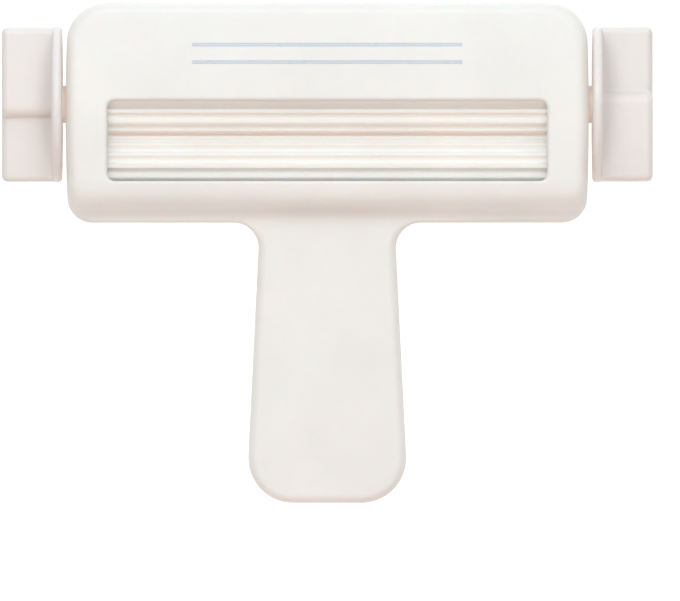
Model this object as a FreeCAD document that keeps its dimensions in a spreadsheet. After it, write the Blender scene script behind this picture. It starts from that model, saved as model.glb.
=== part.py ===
import FreeCAD, Part
import math
import os
import re
import Sketcher
from FreeCAD import Placement, Rotation, Vector

# Hand paper crimper lying on its flat back. X runs along the rollers, Y from the end of the grip
# towards the head, and Z from the back face up to the front. Lengths in millimetres, angles in degrees.

# Driving dimensions
DRIVING = (
    ("overall_length", 190.0, "end of the grip to the top of the head"),
    ("head_width", 198.6, "head across its bowed sides"),
    ("head_height", 83.4, "head from its rim to its top"),
    ("head_depth", 47.7, "flat back to front face"),
    ("seam_height", 22.0, "back face to the seam between the shells"),
    ("side_bow", 1.0, "bulge of each side of the head"),
    ("brow_drop", 1.6, "fall of the front face towards the top"),
    ("brow_length", 36.0, "part of the front face that falls back"),
    ("top_corner", 15.2, "plan radius of the top corners"),
    ("bottom_corner", 9.2, "plan radius of the bottom corners"),
    ("front_round", 4.5, "rounding of the front edges"),
    ("back_round", 5.0, "rounding of the back edges"),
    ("belly_round", 12.0, "large rounding under the window"),
    ("rim_height", 4.0, "foot of the belly's curve above the head's lower edge"),
    ("rim_round", 1.5, "rounding of the head's lower edge"),
    ("shell_wall", 2.8, "wall of both shells"),
    ("floor_wall", 2.5, "thickness of the back face"),
    ("seam_gap", 0.05, "gap between parts that close on each other"),
    ("paper_width", 165.0, "widest sheet"),
    ("window_margin", 0.9, "window past the sheet on each side"),
    ("window_height", 30.4, "window from edge to edge"),
    ("window_rise", 1.3, "window top above the upper roller's axis"),
    ("window_corner", 2.7, "corner radius of the window"),
    ("lip_round", 1.5, "rounding round the window"),
    ("exit_height", 17.0, "height of the slot in the back"),
    ("exit_corner", 2.0, "corner radius of the slot in the back"),
    ("stripe_length", 102.4, "length of each inlaid stripe"),
    ("stripe_width", 1.1, "width of each inlaid stripe"),
    ("stripe_depth", 0.6, "depth of each inlaid stripe"),
    ("stripe_inset", 16.0, "upper stripe below the head's top"),
    ("stripe_spacing", 6.6, "between the two stripes"),
    ("grip_neck_half", 25.6, "half width of the grip at the head"),
    ("grip_end_half", 30.9, "half width of the grip at its end"),
    ("grip_drop", 12.0, "grip face behind the head's front face"),
    ("grip_corner", 17.1, "plan radius at the end of the grip"),
    ("grip_join", 9.7, "plan radius where grip and head meet"),
    ("grip_round", 3.5, "rounding of the grip's front edges"),
    ("grip_wall", 2.5, "wall of the grip"),
    ("cove_round", 8.0, "hollow curve under the belly"),
    ("cover_thick", 2.0, "plate that closes the grip"),
    ("cover_rebate", 1.2, "grip wall outside the cover"),
    ("cover_play", 0.15, "cover to its rebate"),
    ("cover_pad", 2.2, "pad round a screw, above the cover"),
    ("cover_sink", 2.4, "depth of the screw wells in the cover"),
    ("tooth_count", 15, "ribs on each roller"),
    ("rib_phase", 4.5, "ribs turned towards the front"),
    ("crest_radius", 11.9, "roller over the ribs"),
    ("root_radius", 9.8, "roller between the ribs"),
    ("valley_round", 1.15, "radius at the bottom of a groove"),
    ("flank_angle", 25.0, "slope of a groove's side"),
    ("crest_round", 0.6, "rounding of a rib"),
    ("roller_extra", 3.5, "roller past the sheet on each side"),
    ("drive_drop", 38.5, "upper roller's axis below the head's top"),
    ("drive_z", 31.0, "upper roller's axis above the back face"),
    ("crimp_distance", 22.1, "between the axes when squeezed"),
    ("hub_radius", 6.0, "end hub of the upper roller"),
    ("hub_length", 4.6, "end hub past the roller"),
    ("shaft_radius", 4.0, "drive shaft"),
    ("shaft_flat", 1.0, "flat cut at each end of the shaft"),
    ("shaft_grip", 15.0, "shaft inside a knob"),
    ("shaft_chamfer", 0.5, "chamfer at the ends of the shafts"),
    ("press_play", 0.02, "radial play of a pressed part"),
    ("run_play", 0.05, "radial play of a turning part"),
    ("face_play", 0.2, "end play between turning parts"),
    ("roll_pin_radius", 1.25, "pin through hub and shaft"),
    ("washer_thick", 0.8, "thrust washer"),
    ("bush_radius", 7.0, "body of the drive bush"),
    ("bush_flange", 9.0, "flange radius of the drive bush"),
    ("bush_flange_thick", 1.5, "flange of the drive bush"),
    ("boss_half", 10.0, "half height of the bush housing"),
    ("cheek_gap", 1.0, "roller end to the lever's cheek"),
    ("cheek_thick", 4.0, "cheek of the lever"),
    ("cheek_round", 7.0, "cheek round its holes"),
    ("axle_radius", 3.0, "axle of the lower roller"),
    ("axle_proud", 1.6, "axle past the cheek"),
    ("idler_bush_radius", 5.0, "bush in the lower roller"),
    ("idler_bush_length", 9.0, "bush in the lower roller"),
    ("idler_bush_flange", 6.5, "flange radius of that bush"),
    ("clip_thick", 0.8, "retaining ring"),
    ("clip_groove", 0.5, "depth of a ring's groove"),
    ("clip_radius", 5.2, "outside of a retaining ring"),
    ("pivot_drop", 50.0, "lever pivot below the head's top"),
    ("pivot_z", 13.0, "lever pivot above the back face"),
    ("squeeze_angle", 3.5, "full travel of the lever"),
    ("pivot_radius", 2.5, "pivot pin"),
    ("pivot_head", 4.2, "head radius of the pivot pin"),
    ("pivot_head_thick", 1.2, "head of the pivot pin"),
    ("pivot_boss", 6.0, "boss round the pivot pin"),
    ("lever_low", 1.0, "lever above the table"),
    ("lever_thick", 10.0, "depth of the lever's paddle"),
    ("lever_inset", 1.0, "paddle inside the grip's outline"),
    ("lever_wall", 3.0, "wall of the paddle"),
    ("lever_round", 4.0, "rounding of the paddle's back"),
    ("neck_half", 22.0, "half width of the lever's neck"),
    ("neck_play", 2.5, "neck to the opening in the head"),
    ("beam_low", 5.0, "lever beam above the table"),
    ("beam_thick", 10.0, "depth of the lever's beam"),
    ("beam_drop", 10.8, "lower edge of the lever's beam below the roller's axis"),
    ("beam_height", 12.5, "height of the lever's beam"),
    ("stop_gap", 0.3, "stop rib to the resting lever"),
    ("rib_thick", 2.0, "ribs of the paddle"),
    ("rib_pitch", 24.0, "between ribs of the paddle"),
    ("knob_radius", 29.6, "round flange of a knob"),
    ("knob_flange", 3.6, "thickness of that flange"),
    ("knob_gap", 1.5, "head to knob"),
    ("knob_length", 22.9, "knob from face to end"),
    ("knob_edge", 1.6, "rounding of the flange"),
    ("wing_round", 2.4, "rounding of the wings"),
    ("wing_foot", 0.5, "hollow at the foot of the step between the wings"),
    ("wing_land", 0.2, "flat between that hollow and the step's round shoulder"),
    ("wing_front", 7.0, "outer face of a wing from the axis"),
    ("wing_back", 2.0, "inner face of a wing from the axis"),
    ("wing_overlap", 4.8, "wings past the axis"),
    ("wing_inset", 0.2, "wing tips inside the flange"),
    ("neck_collar", 7.1, "collar between knob and bush"),
    ("knob_recess", 4.0, "screw recess in a knob"),
    ("knob_recess_radius", 4.4, "screw recess in a knob"),
    ("knob_screw_radius", 2.0, "screw that holds a knob"),
    ("knob_screw_head", 3.6, "head radius of that screw"),
    ("knob_screw_depth", 9.0, "screw inside the shaft"),
    ("screw_head_tall", 2.2, "height of a screw head"),
    ("slot_width", 0.9, "cross slot of a screw"),
    ("slot_depth", 1.2, "cross slot of a screw"),
    ("case_screw_radius", 1.5, "case screws"),
    ("case_screw_head", 2.9, "head radius of the case screws"),
    ("case_screw_bite", 10.0, "case screw inside the front shell"),
    ("case_boss", 3.8, "screw boss"),
    ("case_recess", 5.0, "depth of the screw wells in the back"),
    ("case_top_x", 82.0, "upper case screws from the middle"),
    ("case_top_inset", 12.0, "upper case screws below the top"),
    ("case_low_x", 90.5, "lower case screws from the middle"),
    ("case_low_inset", 6.2, "lower case screws above the rim"),
    ("cover_screw_drop", 41.6, "upper cover screw below the head"),
    ("cover_screw_inset", 23.0, "lower cover screw above the grip's end"),
    ("cover_screw_bite", 4.5, "cover screw inside the grip"),
    ("spring_drop", 20.6, "return spring's axis below the head"),
    ("spring_coil", 6.0, "mean radius of the return spring"),
    ("spring_wire", 1.4, "wire of the return spring"),
    ("spring_turns", 5, "turns of the return spring"),
    ("well_radius", 7.6, "spring well in the cover"),
    ("well_depth", 4.0, "spring well in the cover"),
    ("well_wall", 1.6, "wall of the spring well"),
    ("post_radius", 4.2, "post inside the spring"),
    ("post_height", 5.5, "post inside the spring"),
)

# Places and sizes worked out from the driving dimensions
WORKED = {
    "head_top": "overall_length / 2",
    "head_bottom": "head_top - head_height",
    "head_middle": "head_top - head_height / 2",
    "belly_edge": "head_bottom + rim_height",
    "belly_end": "belly_edge + belly_round",
    "brow_start": "head_top - brow_length",
    "brow_radius": "(brow_length^2 + brow_drop^2) / (2 * brow_drop)",
    "side_radius": "((head_height / 2)^2 + side_bow^2) / (2 * side_bow)",
    "grip_front": "head_depth - grip_drop",
    "grip_end": "-overall_length / 2",
    "cove_share": "belly_round / (belly_round + cove_round)",
    "cove_reach": "sqrt((belly_round + cove_round)^2 - cove_round^2)",
    "cove_end": "belly_end - cove_reach",
    "cove_top_y": "belly_end - cove_reach * cove_share",
    "cove_top_z": "grip_front + cove_round * cove_share",
    "drive_y": "head_top - drive_drop",
    "pivot_y": "head_top - pivot_drop",
    "spring_y": "head_bottom - spring_drop",
    "window_half": "paper_width / 2 + window_margin",
    "window_top": "drive_y + window_rise",
    "window_low": "window_top - window_height",
    "nip_y": "drive_y - crimp_distance / 2",
    "roller_half": "paper_width / 2 + roller_extra",
    "pitch_angle": "360 / tooth_count",
    "squeezed_y": "drive_y - crimp_distance - pivot_y",
    "squeezed_z": "drive_z - pivot_z",
    "idler_y": "pivot_y + squeezed_y * cos(squeeze_angle) - squeezed_z * sin(squeeze_angle)",
    "idler_z": "pivot_z + squeezed_y * sin(squeeze_angle) + squeezed_z * cos(squeeze_angle)",
    "drive_turn": "180 - pitch_angle / 2 - rib_phase",
    "idler_turn": "squeeze_angle + rib_phase",
    "beam_bottom": "idler_y - beam_drop",
    "side_face": "head_width / 2",
    "inner_face": "side_face - shell_wall",
    "washer_face": "roller_half + hub_length + face_play / 2",
    "bush_face": "washer_face + washer_thick + face_play",
    "bush_seat": "bush_face + bush_flange_thick",
    "bush_end": "side_face - face_play",
    "knob_face": "side_face + knob_gap",
    "shaft_half": "knob_face + shaft_grip",
    "cheek_face": "roller_half + cheek_gap",
    "cheek_back": "cheek_face + cheek_thick",
    "axle_half": "cheek_back + axle_proud",
    "clip_face": "cheek_back + face_play / 2",
    "pivot_seat": "cheek_back + face_play * 2",
    "pivot_clip": "cheek_face - clip_thick - face_play",
    "spring_top": "seam_height + well_depth",
    "spring_bottom": "lever_low + lever_wall",
    "cover_seat": "seam_height + cover_thick",
    "pad_top": "cover_seat + cover_pad",
    "screw_seat": "seam_height + cover_sink",
    "neck_low": "floor_wall + lever_low",
    "wing_shoulder": "wing_front - wing_back - wing_foot - wing_land",
}

doc = FreeCAD.newDocument("PaperCrimper")
sheet = doc.addObject("Spreadsheet::Sheet", "Sizes")
for row, (alias, value, meaning) in enumerate(DRIVING, start=1):
    sheet.set(f"A{row}", meaning)
    sheet.set(f"B{row}", str(value))
    sheet.setAlias(f"B{row}", alias)
doc.recompute()

ALIASES = {alias for alias, _, _ in DRIVING}
PARTS = {}
UNIT = {"X": Vector(1, 0, 0), "Y": Vector(0, 1, 0), "Z": Vector(0, 0, 1)}
TURN_FROM_Z = {"X": Rotation(UNIT["Y"], 90), "Y": Rotation(UNIT["X"], -90), "Z": Rotation()}
SKETCH_TURN = {"XY": Rotation(), "YZ": Rotation(Vector(1, 1, 1), 120)}
SKETCH_NORMAL = {"XY": UNIT["Z"], "YZ": UNIT["X"]}


def bound(text):
    """Expression of the sheet's cells for a text in plain size names."""
    def name(match):
        word = match.group(0)
        if word in ALIASES:
            return "Sizes." + word
        if word in WORKED:
            return "(" + bound(WORKED[word]) + ")"
        return word
    return re.sub(r"[a-z][a-z0-9_]*", name, str(text))


def number(text):
    """Present value of a text in plain size names."""
    return float(sheet.evalExpression(bound(text)))


def bind(thing, prop, text):
    """Tie a property of an object to the sheet."""
    thing.setExpression(prop, bound(text))


def place(thing, x="0", y="0", z="0", turn=None):
    """Put an object at a place tied to the sheet, with an optional fixed turn."""
    thing.Placement = Placement(Vector(number(x), number(y), number(z)), turn or Rotation())
    for axis, text in zip("xyz", (x, y, z)):
        bind(thing, "Placement.Base." + axis, text)
    return thing


def place_turned(thing, y, z, angle):
    """Put an object that lies along X at a place, turned about its own axis."""
    place(thing, "0", y, z, Rotation(UNIT["X"], number(angle)))
    bind(thing, "Placement.Rotation.Angle", angle)
    return thing


def box(name, x, y, z):
    """Block between the low and high texts of each axis."""
    block = doc.addObject("Part::Box", name)
    for prop, (low, high) in zip(("Length", "Width", "Height"), (x, y, z)):
        bind(block, prop, f"({high}) - ({low})")
    return place(block, x[0], y[0], z[0])


def rod(name, axis, low, high, centre, radius):
    """Round bar along an axis, from low to high, at a centre in the other two axes."""
    bar = doc.addObject("Part::Cylinder", name)
    bind(bar, "Radius", radius)
    bind(bar, "Height", f"({high}) - ({low})")
    where = dict(zip([a for a in "XYZ" if a != axis], centre))
    where[axis] = low
    return place(bar, where["X"], where["Y"], where["Z"], TURN_FROM_Z[axis])


def join(name, things):
    """One solid of several that meet."""
    whole = doc.addObject("Part::MultiFuse", name)
    whole.Shapes = things
    whole.Refine = True
    return whole


def common(name, things):
    """What several solids share."""
    shared = doc.addObject("Part::MultiCommon", name)
    shared.Shapes = things
    shared.Refine = True
    return shared


def cut(name, base, tools):
    """A solid less one or more others."""
    rest = doc.addObject("Part::Cut", name)
    rest.Base = base
    rest.Tool = tools[0] if len(tools) == 1 else join(name + "_tools", tools)
    rest.Refine = True
    return rest


def rounded(name, base, radius, pick):
    """Round the edges that a test picks."""
    doc.recompute()
    size = number(radius)
    fillet = doc.addObject("Part::Fillet", name)
    fillet.Base = base
    fillet.Edges = [(i, size, size) for i, edge in enumerate(base.Shape.Edges, 1) if pick(edge)]
    return fillet


def rounded_by_place(name, base, pick, size_at):
    """Round the edges that a test picks, with the size that belongs to the place of each end."""
    doc.recompute()
    fillet = doc.addObject("Part::Fillet", name)
    fillet.Base = base
    fillet.Edges = [(i, size_at(edge.valueAt(edge.FirstParameter)), size_at(edge.valueAt(edge.LastParameter)))
                    for i, edge in enumerate(base.Shape.Edges, 1) if pick(edge)]
    return fillet


def middle(edge):
    """Point half way along an edge."""
    return edge.valueAt((edge.FirstParameter + edge.LastParameter) / 2)


def runs(edge, axis):
    """True for a straight edge along an axis."""
    line = isinstance(edge.Curve, (Part.Line, Part.LineSegment))
    return line and abs(edge.tangentAt(edge.FirstParameter).dot(UNIT[axis])) > 0.999


def arc_middle(start, end, radius):
    """Point half way along the shorter arc that bulges to the right of the way from start to end."""
    chord = end - start
    sagitta = radius - math.sqrt(max(radius ** 2 - chord.Length ** 2 / 4, 0))
    right = Vector(chord.y, -chord.x, 0).normalize()
    return start + chord / 2 + right * sagitta


def draw(sketch, corners, arcs=None):
    """Closed outline through corners tied to the sheet, counter-clockwise.

    arcs gives the radius of each side that bulges outwards, by the number of its first corner;
    a radius text that starts with a minus sign bulges inwards.
    """
    arcs = arcs or {}
    points = [Vector(number(x), number(y), 0) for x, y in corners]
    count = len(points)
    for i, start in enumerate(points):
        end = points[(i + 1) % count]
        if i in arcs:
            inward = arcs[i].startswith("-")
            radius = number(arcs[i].lstrip("-"))
            mid = arc_middle(end, start, radius) if inward else arc_middle(start, end, radius)
            sketch.addGeometry(Part.Arc(start, mid, end))
        else:
            sketch.addGeometry(Part.LineSegment(start, end))

    def first_end(i):
        return 1 if sketch.getPoint(i, 1).distanceToPoint(points[i]) < 1e-5 else 2

    for i in range(count):
        after = (i + 1) % count
        sketch.addConstraint(
            Sketcher.Constraint("Coincident", i, 3 - first_end(i), after, first_end(after)))
    for i, (x, y) in enumerate(corners):
        for kind, text in (("DistanceX", x), ("DistanceY", y)):
            held = sketch.addConstraint(Sketcher.Constraint(kind, i, first_end(i), number(text)))
            sketch.setExpression(f"Constraints[{held}]", bound(text))
    for i, text in arcs.items():
        radius = text.lstrip("-")
        held = sketch.addConstraint(Sketcher.Constraint("Radius", i, number(radius)))
        sketch.setExpression(f"Constraints[{held}]", bound(radius))


def slab(name, plane, corners, low, high, arcs=None):
    """Outline on a plane, thickened from low to high along the plane's normal."""
    sketch = doc.addObject("Sketcher::SketchObject", name + "_outline")
    sketch.Placement = Placement(Vector(), SKETCH_TURN[plane])
    draw(sketch, corners, arcs)
    block = doc.addObject("Part::Extrusion", name)
    block.Base = sketch
    block.DirMode = "Custom"
    block.Dir = SKETCH_NORMAL[plane]
    block.Solid = True
    bind(block, "LengthFwd", high)
    bind(block, "LengthRev", f"-({low})")
    return block


def origin_feature(body, role):
    """Plane or axis of a body's own origin."""
    return next(item for item in body.Origin.OriginFeatures if item.Role == role)


def turned(name, corners, arcs=None):
    """Body turned about X from a closed outline of (along, radius) corners."""
    body = doc.addObject("PartDesign::Body", name)
    sketch = body.newObject("Sketcher::SketchObject", name + "_outline")
    sketch.AttachmentSupport = [(origin_feature(body, "XY_Plane"), "")]
    sketch.MapMode = "FlatFace"
    draw(sketch, corners, arcs)
    turn = body.newObject("PartDesign::Revolution", name + "_turn")
    turn.Profile = sketch
    turn.ReferenceAxis = (origin_feature(body, "X_Axis"), [""])
    turn.Angle = 360
    body.Tip = turn
    return body


def part(label, thing):
    """Name an object as one of the crimper's pieces."""
    thing.Label = label
    PARTS[label] = thing
    return thing


def group(name, things):
    """Several like solids that share one piece name."""
    bunch = doc.addObject("Part::Compound", name)
    bunch.Links = things
    return bunch


def mirrored(name, thing):
    """The same solid on the other side of the middle."""
    copy = doc.addObject("Part::Mirroring", name)
    copy.Source = thing
    copy.Normal = UNIT["X"]
    return copy


# Head and grip seen from the front

def side_x(y, inset):
    """Half width of the bowed head at a height, inside the outer face by inset."""
    return f"side_face - side_radius + sqrt((side_radius - ({inset}))^2 - (({y}) - head_middle)^2)"


def head_plan(name, bottom, inset, low, high):
    """Head seen from the front, from a bottom line to its top, with round corners."""
    top = f"head_top - ({inset})"
    low_x, top_x = side_x(bottom, inset), side_x(top, inset)
    corners = [(f"-({low_x})", bottom), (low_x, bottom), (top_x, top), (f"-({top_x})", top)]
    bow = f"side_radius - ({inset})"
    block = slab(name, "XY", corners, low, high, {1: bow, 3: bow})

    def corner_size(point):
        corner = "top_corner" if point.y > number("head_middle") else "bottom_corner"
        return number(f"{corner} - ({inset})")

    return rounded_by_place(name + "_corners", block, lambda edge: runs(edge, "Z"), corner_size)


def grip_plan(name, inset, top, low, high, corner):
    """Tapered grip seen from the front, with round end corners, inside the outer face by inset."""
    slope = "(grip_end_half - grip_neck_half) / (head_bottom - grip_end)"
    top_x = f"grip_neck_half + {slope} * (head_bottom - ({top})) - ({inset})"
    end_x = f"grip_end_half - ({inset})"
    end = f"grip_end + ({inset})"
    corners = [(f"-({end_x})", end), (end_x, end), (top_x, top), (f"-({top_x})", top)]
    block = slab(name, "XY", corners, low, high)
    line = number(end) + number(corner)

    def at_end_corner(edge):
        return runs(edge, "Z") and middle(edge).y < line

    return rounded(name + "_corners", block, corner, at_end_corner)


# Front shell: head and grip in one moulding, under one outline seen from the side
tee_block = join("tee_block", [
    head_plan("head_block", "head_bottom", "0", "seam_height", "head_depth + 1"),
    grip_plan("grip_block", "0", "head_bottom + shell_wall", "seam_height", "head_depth + 1", "grip_corner")])


def at_grip_join(edge):
    point = middle(edge)
    near = abs(abs(point.x) - number("grip_neck_half")) < 0.1
    return runs(edge, "Z") and near and abs(point.y - number("head_bottom")) < 0.1


tee_joined = rounded("tee_joined", tee_block, "grip_join", at_grip_join)
brow_z = "head_depth - brow_radius + sqrt(brow_radius^2 - brow_length^2)"
front_profile = slab("front_profile", "YZ", [
    ("grip_end - 1", "seam_height"), ("head_top", "seam_height"), ("head_top", brow_z),
    ("brow_start", "head_depth"), ("belly_end", "head_depth"), ("cove_top_y", "cove_top_z"),
    ("cove_end", "grip_front"), ("grip_end - 1", "grip_front")],
    "-head_width", "head_width", {2: "brow_radius", 4: "belly_round", 5: "-cove_round"})
tee_form = common("tee_form", [tee_joined, front_profile])


def front_edge(edge):
    """Edges between the front and the sides, and not the lines across the front."""
    point = middle(edge)
    across = runs(edge, "X")
    at_rim = min(abs(point.y - number(line)) for line in ("head_top", "head_bottom", "grip_end")) < 0.1
    return point.z > number("grip_front") - 0.01 and not runs(edge, "Z") and (at_rim or not across)


def front_size(point):
    """Rounding of the front edge at a point: wide on the head, fine along its rim, then the grip's."""
    rise = point.y - number("head_bottom")
    far, reach = ("front_round", "bottom_corner") if rise > 0 else ("grip_round", "grip_join")
    share = min(abs(rise) / number(reach), 1)
    return number("rim_round") + (number(far) - number("rim_round")) * share


shell_outer = rounded_by_place("shell_outer", tee_form, front_edge, front_size)

# Hollow of the front shell, one wall inside its outer form
hollow_low = "belly_edge + shell_wall"
hollow_top = "head_top - shell_wall"
hollow_front = "head_depth - shell_wall"
hollow_brow = "brow_radius - shell_wall"
hollow_brow_z = f"head_depth - brow_radius + sqrt(({hollow_brow})^2 - (brow_length - shell_wall)^2)"
hollow_profile = slab("hollow_profile", "YZ", [
    (hollow_low, "seam_height - 1"), (hollow_top, "seam_height - 1"), (hollow_top, hollow_brow_z),
    ("brow_start", hollow_front), ("belly_end", hollow_front), (hollow_low, "grip_front")],
    "-head_width", "head_width", {2: hollow_brow, 4: "belly_round - shell_wall"})
hollow_plan = head_plan("hollow_plan", hollow_low, "shell_wall", "seam_height - 1", "head_depth")
head_hollow = common("head_hollow", [hollow_plan, hollow_profile])
rim_hollow = head_plan("rim_hollow", "head_bottom + shell_wall", "shell_wall", "seam_height - 1",
                       "grip_front - shell_wall")
grip_hollow = grip_plan("grip_hollow", "grip_wall", "head_bottom - shell_wall", "seam_height - 1",
                        "grip_front - grip_wall", "grip_corner - grip_wall")
cover_seat_cut = grip_plan("cover_seat_cut", "cover_rebate", "head_bottom - shell_wall + cover_rebate",
                           "seam_height - 1", "cover_seat", "grip_corner - cover_rebate")


def frame_plan(name, half, low_y, high_y, corner, low, high):
    """Rounded rectangle seen from the front."""
    block = box(name, (f"-({half})", half), (low_y, high_y), (low, high))
    return rounded(name + "_corners", block, corner, lambda edge: runs(edge, "Z"))


# Window with a rounded lip: the lip's own cross-section is taken out of a wider frame
LIP_REACH = "lip_round + 1"
LIP_FLOOR = "head_depth - lip_round - 0.3"
window_cut = frame_plan("window_cut", "window_half", "window_low", "window_top", "window_corner",
                        "drive_z", "head_depth + 2")
lip_field = frame_plan("lip_field", f"window_half + {LIP_REACH}", f"window_low - ({LIP_REACH})",
                       f"window_top + {LIP_REACH}", f"window_corner + {LIP_REACH}",
                       LIP_FLOOR, "head_depth + 1")
lip_block = frame_plan("lip_block", f"window_half + {LIP_REACH}", f"window_low - ({LIP_REACH})",
                       f"window_top + {LIP_REACH}", f"window_corner + {LIP_REACH}",
                       LIP_FLOOR, "head_depth")
lip_opened = cut("lip_opened", lip_block, [window_cut])


def lip_edge(edge):
    point = middle(edge)
    at_front = abs(point.z - number("head_depth")) < 0.01 and not runs(edge, "Z")
    inside_x = abs(point.x) < number("window_half") + 0.1
    inside_y = number("window_low") - 0.1 < point.y < number("window_top") + 0.1
    return at_front and inside_x and inside_y


lip_frame = rounded("lip_frame", lip_opened, "lip_round", lip_edge)
lip_cut = cut("lip_cut", lip_field, [lip_frame])

CASE_SCREWS = [(x, y) for x, y in (
    ("case_top_x", "head_top - case_top_inset"), ("-case_top_x", "head_top - case_top_inset"),
    ("case_low_x", "head_bottom + case_low_inset"), ("-case_low_x", "head_bottom + case_low_inset"))]
COVER_SCREWS = ["head_bottom - cover_screw_drop", "grip_end + cover_screw_inset"]

case_posts = []
case_taps = []
for i, (x, y) in enumerate(CASE_SCREWS):
    top = "head_depth - shell_wall" if "top" in x else "grip_front - shell_wall / 2"
    case_posts.append(rod(f"case_post_{i}", "Z", "seam_height", top, (x, y), "case_boss"))
    case_taps.append(rod(f"case_tap_{i}", "Z", "seam_height - 1", "seam_height + case_screw_bite + 1",
                         (x, y), "case_screw_radius + press_play"))
for i, y in enumerate(COVER_SCREWS):
    case_posts.append(rod(f"cover_post_{i}", "Z", "pad_top + seam_gap",
                          "grip_front - grip_wall + 1", ("0", y), "case_boss"))
    case_taps.append(rod(f"cover_tap_{i}", "Z", "cover_seat", "grip_front - grip_wall", ("0", y),
                         "case_screw_radius + press_play"))

# Housing of each drive bush: a block behind the side wall, slotted open towards the back shell
bush_blocks = []
bush_holes = []
for side, sign in (("right", ""), ("left", "-")):
    low, high = ("bush_seat", "inner_face + 1") if not sign else ("-inner_face - 1", "-bush_seat")
    bush_blocks.append(box(f"bush_block_{side}", (low, high),
                           ("drive_y - boss_half", "drive_y + boss_half"),
                           ("seam_height", "drive_z + boss_half")))
    low, high = ("bush_seat - 1", "side_face + 1") if not sign else ("-side_face - 1", "-bush_seat + 1")
    bush_holes.append(rod(f"bush_hole_{side}", "X", low, high, ("drive_y", "drive_z"),
                          "bush_radius + press_play"))
    bush_holes.append(box(f"bush_slot_{side}", (low, high),
                          ("drive_y - bush_radius - press_play", "drive_y + bush_radius + press_play"),
                          ("seam_height - 1", "drive_z")))

stripes = []
stripe_grooves = []
for i, y in enumerate(("head_top - stripe_inset", "head_top - stripe_inset - stripe_spacing")):
    middle_y = f"({y}) - brow_start"
    floor_z = f"head_depth - brow_radius + sqrt(brow_radius^2 - ({middle_y})^2) - stripe_depth"
    for name, play, bunch in (("stripe", "0", stripes), ("groove", "press_play", stripe_grooves)):
        half = f"stripe_length / 2 + {play}"
        wide = f"stripe_width / 2 + {play}"
        bunch.append(box(f"{name}_{i}", (f"-({half})", half), (f"{y} - ({wide})", f"{y} + {wide}"),
                         (f"{floor_z} - {play}", "head_depth + 1")))

shell_hollowed = cut("shell_hollowed", shell_outer, [head_hollow, rim_hollow, grip_hollow])
shell_bossed = join("shell_bossed", [shell_hollowed] + case_posts + bush_blocks)
front_shell = cut("front_shell", shell_bossed,
                  [cover_seat_cut, window_cut, lip_cut] + case_taps + bush_holes + stripe_grooves)
part("front_housing", front_shell)
part("stripe_inlays", group("stripe_pair", [
    common(f"stripe_inlay_{i}", [bar, shell_outer]) for i, bar in enumerate(stripes)]))

# Back shell
back_plan = head_plan("back_plan", "head_bottom", "0", "0", "seam_height - seam_gap")
back_outer = rounded("back_outer", back_plan, "back_round", lambda edge: middle(edge).z < 0.01)
back_hollow = head_plan("back_hollow", "head_bottom + shell_wall", "shell_wall", "floor_wall",
                        "seam_height + 1")
back_hollowed = cut("back_hollowed", back_outer, [back_hollow])

exit_cut = frame_plan("exit_cut", "window_half", "nip_y - exit_height / 2", "nip_y + exit_height / 2",
                      "exit_corner", "-1", "floor_wall + 1")
neck_cut = box("neck_cut", ("-neck_half - neck_play", "neck_half + neck_play"),
               ("head_bottom - 1", "head_bottom + shell_wall + 1"),
               ("floor_wall", "neck_low + lever_thick + beam_low"))
back_posts = []
back_holes = [exit_cut, neck_cut]
for i, (x, y) in enumerate(CASE_SCREWS):
    back_posts.append(rod(f"back_post_{i}", "Z", "floor_wall - 1", "seam_height - seam_gap", (x, y),
                          "case_boss"))
    back_holes.append(rod(f"back_hole_{i}", "Z", "-1", "seam_height + 1", (x, y),
                          "case_screw_radius + run_play * 3"))
    back_holes.append(rod(f"back_well_{i}", "Z", "-1", "case_recess", (x, y),
                          "case_screw_head + run_play * 4"))
for side, sign in (("right", ""), ("left", "-")):
    ends = {"tongue": ("bush_seat", "bush_end"), "pivot": ("pivot_seat", "inner_face + 1"),
            "bore": ("pivot_seat - 1", "side_face + 1"),
            "sink": ("side_face - pivot_head_thick - side_bow", "side_face + 1")}
    if sign:
        ends = {key: (f"-({high})", f"-({low})") for key, (low, high) in ends.items()}
    back_posts.append(box(f"bush_tongue_{side}", ends["tongue"],
                          ("drive_y - bush_radius + run_play", "drive_y + bush_radius - run_play"),
                          ("pivot_z", "drive_z - bush_radius - run_play")))
    back_posts.append(rod(f"pivot_post_{side}", "X", *ends["pivot"], ("pivot_y", "pivot_z"),
                          "pivot_boss"))
    back_holes.append(rod(f"pivot_hole_{side}", "X", *ends["bore"], ("pivot_y", "pivot_z"),
                          "pivot_radius + press_play"))
    back_holes.append(rod(f"pivot_sink_{side}", "X", *ends["sink"], ("pivot_y", "pivot_z"),
                          "pivot_head + run_play"))
    rib_x = ("neck_half * 2", "neck_half * 2 + rib_thick")
    if sign:
        rib_x = (f"-({rib_x[1]})", f"-({rib_x[0]})")
    back_posts.append(box(f"stop_rib_{side}", rib_x,
                          ("beam_bottom", "beam_bottom + beam_height"),
                          ("floor_wall - 1", "beam_low - stop_gap")))
back_bossed = join("back_bossed", [back_hollowed] + back_posts)
part("rear_housing", cut("back_shell", back_bossed, back_holes))

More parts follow.
